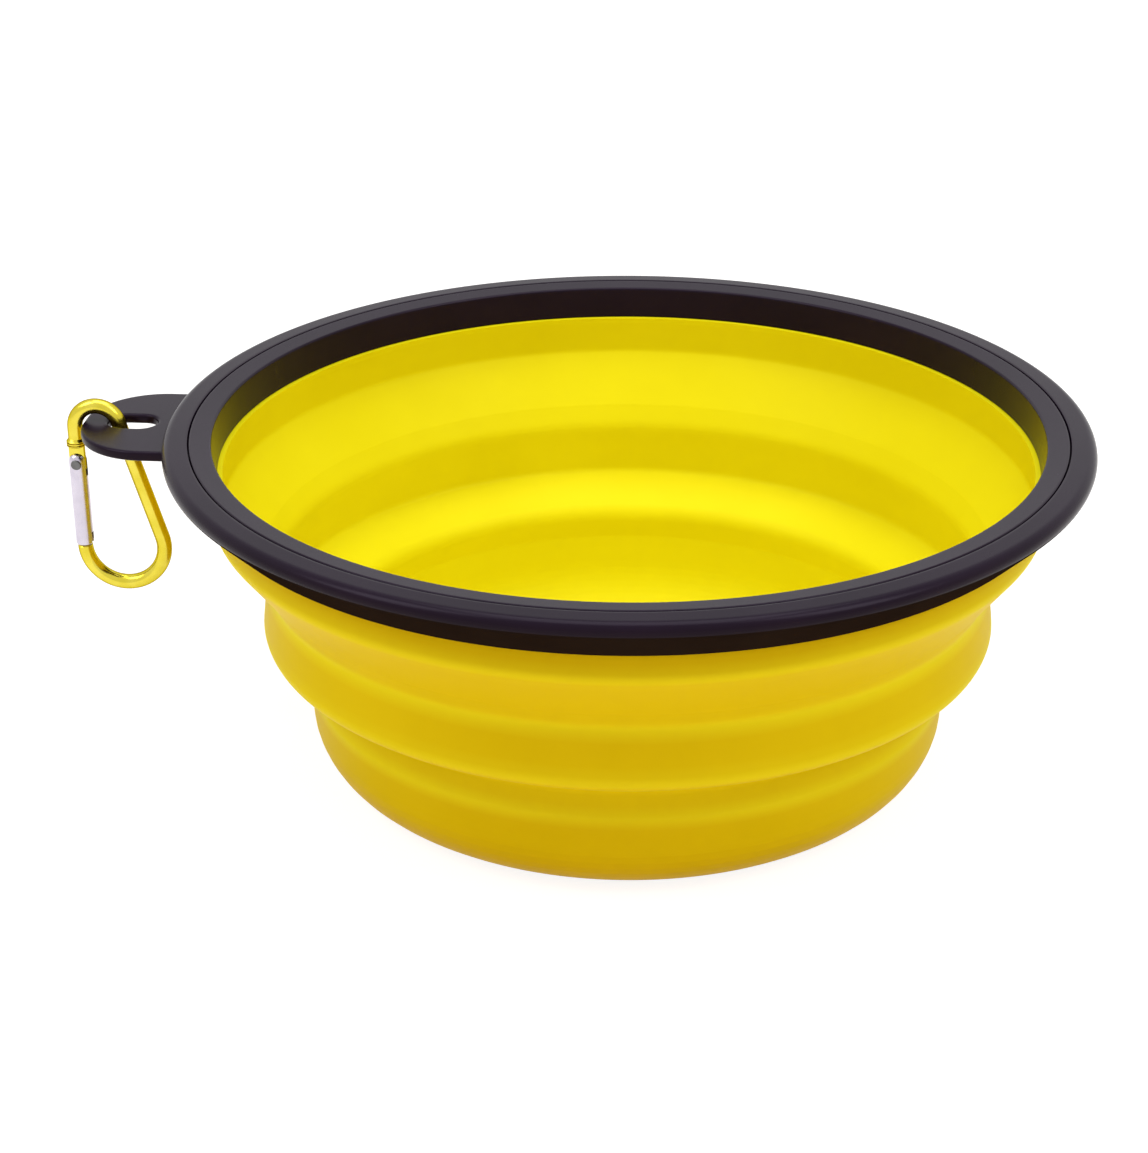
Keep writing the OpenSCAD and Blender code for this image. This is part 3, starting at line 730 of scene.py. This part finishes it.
class Shader:
    """A Principled material with short calls for the nodes that feed it."""

    def __init__(self, name):
        self.material = bpy.data.materials.new(name)
        self.material.use_nodes = True
        self.tree = self.material.node_tree
        self.main = self.tree.nodes["Principled BSDF"]
        self.coords = self.tree.nodes.new("ShaderNodeTexCoord").outputs["Object"]

    def set(self, **values):
        for key, value in values.items():
            self.main.inputs[key.replace("_", " ")].default_value = value

    def noise(self, scale, detail=4, rough=0.55, stretch=None):
        node = self.tree.nodes.new("ShaderNodeTexNoise")
        node.inputs["Scale"].default_value = scale
        node.inputs["Detail"].default_value = detail
        node.inputs["Roughness"].default_value = rough
        source = self.coords
        if stretch:
            mapping = self.tree.nodes.new("ShaderNodeMapping")
            mapping.inputs["Scale"].default_value = stretch
            self.tree.links.new(source, mapping.inputs["Vector"])
            source = mapping.outputs["Vector"]
        self.tree.links.new(source, node.inputs["Vector"])
        return node.outputs["Fac"]

    def tint(self, source, low, high):
        """A colour that a noise takes from the display colour low to high."""
        node = self.tree.nodes.new("ShaderNodeValToRGB")
        for element, place, colour in zip(node.color_ramp.elements, TINT_STOPS, (low, high)):
            element.position = place
            element.color = srgb(*colour)
        self.tree.links.new(source, node.inputs["Fac"])
        return node.outputs["Color"]

    def spread(self, source, low, high):
        node = self.tree.nodes.new("ShaderNodeMapRange")
        node.inputs["To Min"].default_value = low
        node.inputs["To Max"].default_value = high
        self.tree.links.new(source, node.inputs["Value"])
        return node.outputs["Result"]

    def attribute(self, name):
        node = self.tree.nodes.new("ShaderNodeAttribute")
        node.attribute_name = name
        return node.outputs["Fac"]

    def link(self, output, name):
        self.tree.links.new(output, self.main.inputs[name])

    def bump(self, source, strength, distance):
        node = self.tree.nodes.new("ShaderNodeBump")
        node.inputs["Strength"].default_value = strength
        node.inputs["Distance"].default_value = distance
        self.tree.links.new(source, node.inputs["Height"])
        previous = self.main.inputs["Normal"]
        if previous.is_linked:
            self.tree.links.new(previous.links[0].from_socket, node.inputs["Normal"])
        self.tree.links.new(node.outputs["Normal"], previous)


MADE = {}


def made_once(build):
    """Keeps one material per maker and arguments."""
    def wrapper(*args):
        key = (build.__name__,) + args
        if key not in MADE:
            MADE[key] = build(*args)
        return MADE[key]
    return wrapper


@made_once
def silicone_material():
    """Matt yellow silicone with large soft patches, and a painted glow that lightens it along
    its folds.
    """
    s = Shader("yellow_silicone")
    plain = s.tint(s.noise(28, detail=3), (233, 222, 14), (238, 228, 20))
    # Painted glow and highlight: lighter yellow where the fold attribute marks the fold lines
    # and webs
    s.link(colour_mix(s.tree, s.attribute("fold"), plain, srgb(248, 252, 40)), "Base Color")
    s.link(s.spread(s.noise(420, detail=5), 0.40, 0.50), "Roughness")
    s.set(IOR=1.42, Specular_IOR_Level=0.05)
    s.bump(s.noise(2600, detail=3), 0.06, mm(0.05))
    s.bump(s.noise(160, detail=2), 0.10, mm(0.08))
    return s.material


@made_once
def rim_material(name, gloss, low, high):
    """Moulded black plastic; low and high are the two ends of its tint."""
    s = Shader(name)
    s.link(s.tint(s.noise(60, detail=3), low, high), "Base Color")
    s.link(s.spread(s.noise(700, detail=5), 0.20, 0.30), "Roughness")
    s.set(IOR=1.46, Specular_IOR_Level=gloss, Specular_Tint=(0.90, 0.80, 1.0, 1))
    s.bump(s.noise(3200, detail=3), 0.08, mm(0.04))
    s.bump(s.noise(90, detail=2), 0.08, mm(0.10))
    return s.material


@made_once
def gold_material():
    """Bright gold anodised aluminium."""
    s = Shader("gold_anodised")
    s.link(s.tint(s.noise(240, detail=3), (214, 196, 58), (228, 212, 84)), "Base Color")
    s.link(s.spread(s.noise(900, detail=4), 0.16, 0.26), "Roughness")
    s.set(Metallic=1.0, Specular_Tint=(0.30, 0.20, 0.03, 1))
    s.bump(s.noise(4000, detail=3), 0.05, mm(0.03))
    return s.material


@made_once
def gate_material():
    """Silver aluminium, drawn lengthwise."""
    s = Shader("silver_gate")
    s.link(s.tint(s.noise(300, detail=3), (196, 190, 204), (212, 206, 218)), "Base Color")
    s.link(s.spread(s.noise(800, detail=4, stretch=(1, 1, 0.08)), 0.20, 0.34), "Roughness")
    s.set(Metallic=1.0)
    s.bump(s.noise(3000, detail=3, stretch=(1, 1, 0.05)), 0.06, mm(0.03))
    return s.material


@made_once
def steel_material(name, low, high):
    """Steel whose grey lies between two display levels."""
    s = Shader(name)
    s.link(s.tint(s.noise(500, detail=3), (low, low, low), (high, high, high)), "Base Color")
    s.link(s.spread(s.noise(1400, detail=4), 0.25, 0.40), "Roughness")
    s.set(Metallic=1.0)
    s.bump(s.noise(4000, detail=2), 0.05, mm(0.02))
    return s.material


# Studio

FLOOR_HALF = 3.0
FLOOR_BOUNCE = (0.87, 0.64, 0.32, 1)
FLOOR_SHADED = (0.34, 0.34, 0.34, 1)
FLOOR_LIFT = 0.88
LOW_SKY = (0.33, 0.14, 0.03, 1)
HIGH_SKY = (0.66, 0.66, 0.66, 1)
SKY_STOPS = (0.20, 0.85)
WHITE = (1, 1, 1, 1)


def sees_backdrop(tree):
    """1 for camera, glossy and transmission rays, which all see the pale backdrop."""
    path = tree.nodes.new("ShaderNodeLightPath")
    total = path.outputs["Is Camera Ray"]
    for name in ("Is Glossy Ray", "Is Transmission Ray"):
        add = tree.nodes.new("ShaderNodeMath")
        add.operation = "ADD"
        add.use_clamp = True
        tree.links.new(total, add.inputs[0])
        tree.links.new(path.outputs[name], add.inputs[1])
        total = add.outputs["Value"]
    return total


def build_floor():
    """Pale floor: a lift makes it white as a backdrop, and its own shade keeps the shadow.

    As light it bounces a warm tone back up at the bowl.
    """
    mesh = bpy.data.meshes.new("floor")
    half = FLOOR_HALF
    mesh.from_pydata([(-half, -half, 0), (half, -half, 0), (half, half, 0), (-half, half, 0)],
                     [], [(0, 1, 2, 3)])
    floor = bpy.data.objects.new("floor", mesh)
    bpy.context.scene.collection.objects.link(floor)
    material = bpy.data.materials.new("floor_pale")
    material.use_nodes = True
    tree = material.node_tree
    tree.nodes.clear()
    bounce = tree.nodes.new("ShaderNodeBsdfDiffuse")
    bounce.inputs["Color"].default_value = FLOOR_BOUNCE
    shaded = tree.nodes.new("ShaderNodeBsdfDiffuse")
    shaded.inputs["Color"].default_value = FLOOR_SHADED
    lift = tree.nodes.new("ShaderNodeEmission")
    lift.inputs["Strength"].default_value = FLOOR_LIFT
    backdrop = tree.nodes.new("ShaderNodeAddShader")
    mixed = tree.nodes.new("ShaderNodeMixShader")
    out = tree.nodes.new("ShaderNodeOutputMaterial")
    tree.links.new(shaded.outputs["BSDF"], backdrop.inputs[0])
    tree.links.new(lift.outputs["Emission"], backdrop.inputs[1])
    tree.links.new(sees_backdrop(tree), mixed.inputs["Fac"])
    tree.links.new(bounce.outputs["BSDF"], mixed.inputs[1])
    tree.links.new(backdrop.outputs["Shader"], mixed.inputs[2])
    tree.links.new(mixed.outputs["Shader"], out.inputs["Surface"])
    mesh.materials.append(material)


def build_world():
    """White to what sees the backdrop; as light, white overhead, warm and dim lower down."""
    world = bpy.data.worlds.new("studio")
    bpy.context.scene.world = world
    world.use_nodes = True
    tree = world.node_tree
    split = tree.nodes.new("ShaderNodeSeparateXYZ")
    tree.links.new(tree.nodes.new("ShaderNodeTexCoord").outputs["Generated"],
                   split.inputs["Vector"])
    sky = tree.nodes.new("ShaderNodeValToRGB")
    for element, place, colour in zip(sky.color_ramp.elements, SKY_STOPS, (LOW_SKY, HIGH_SKY)):
        element.position = place
        element.color = colour
    tree.links.new(split.outputs["Z"], sky.inputs["Fac"])
    mixed = colour_mix(tree, sees_backdrop(tree), sky.outputs["Color"], WHITE)
    tree.links.new(mixed, tree.nodes["Background"].inputs["Color"])


def area_light(name, place, target, size, power):
    """A soft box of width and depth size, in watts, aimed at target."""
    light = bpy.data.lights.new(name, "AREA")
    light.shape = "RECTANGLE"
    light.size, light.size_y = size
    light.energy = power
    lamp = bpy.data.objects.new(name, light)
    lamp.location = place
    lamp.rotation_euler = (Vector(target) - Vector(place)).to_track_quat("-Z", "Y").to_euler()
    bpy.context.scene.collection.objects.link(lamp)


def build_lights():
    """One soft box on each side in front and a larger one overhead, aimed at the bowl."""
    centre = (0, 0, 0.04)
    area_light("left", (-0.8, -0.35, 1.0), centre, (0.5, 0.7), 4)
    area_light("right", (0.8, -0.35, 1.0), centre, (0.5, 0.7), 4)
    area_light("top", (0.0, 0.1, 1.3), centre, (0.9, 0.9), 7.2)


def build_camera():
    """Camera at the photograph's angle: the rim's centre falls on its pixel there."""
    image_w = 1148
    image_centre = Vector((574, 576.5))
    rim_centre_px = Vector((627.9, 422.2))
    focal_px = 2575.9
    distance = 0.5
    elevation, azimuth = math.radians(21.72), math.radians(3.7)
    roll = 0.0051
    away = Vector((math.sin(azimuth) * math.cos(elevation),
                   -math.cos(azimuth) * math.cos(elevation), math.sin(elevation)))
    data = bpy.data.cameras.new("camera")
    data.sensor_fit = "HORIZONTAL"
    data.sensor_width = 36
    data.lens = focal_px / image_w * data.sensor_width
    data.clip_start = 0.05
    camera = bpy.data.objects.new("camera", data)
    off = rim_centre_px - image_centre
    yaw, pitch = math.atan(off.x / focal_px), math.atan(off.y / focal_px)
    facing = (-away).to_track_quat("-Z", "Y").to_matrix()
    turned = (facing @ Matrix.Rotation(roll, 3, "Z") @ Matrix.Rotation(yaw, 3, "Y")
              @ Matrix.Rotation(pitch, 3, "X"))
    camera.matrix_world = (Matrix.Translation(Vector((0, 0, Z_RIM)) + away * distance)
                           @ turned.to_4x4())
    bpy.context.scene.collection.objects.link(camera)
    bpy.context.scene.camera = camera


build_camera()
build_silicone()
build_rim()
build_link()
build_gate()
build_floor()
build_world()
build_lights()
bpy.context.scene.view_settings.view_transform = "Standard"
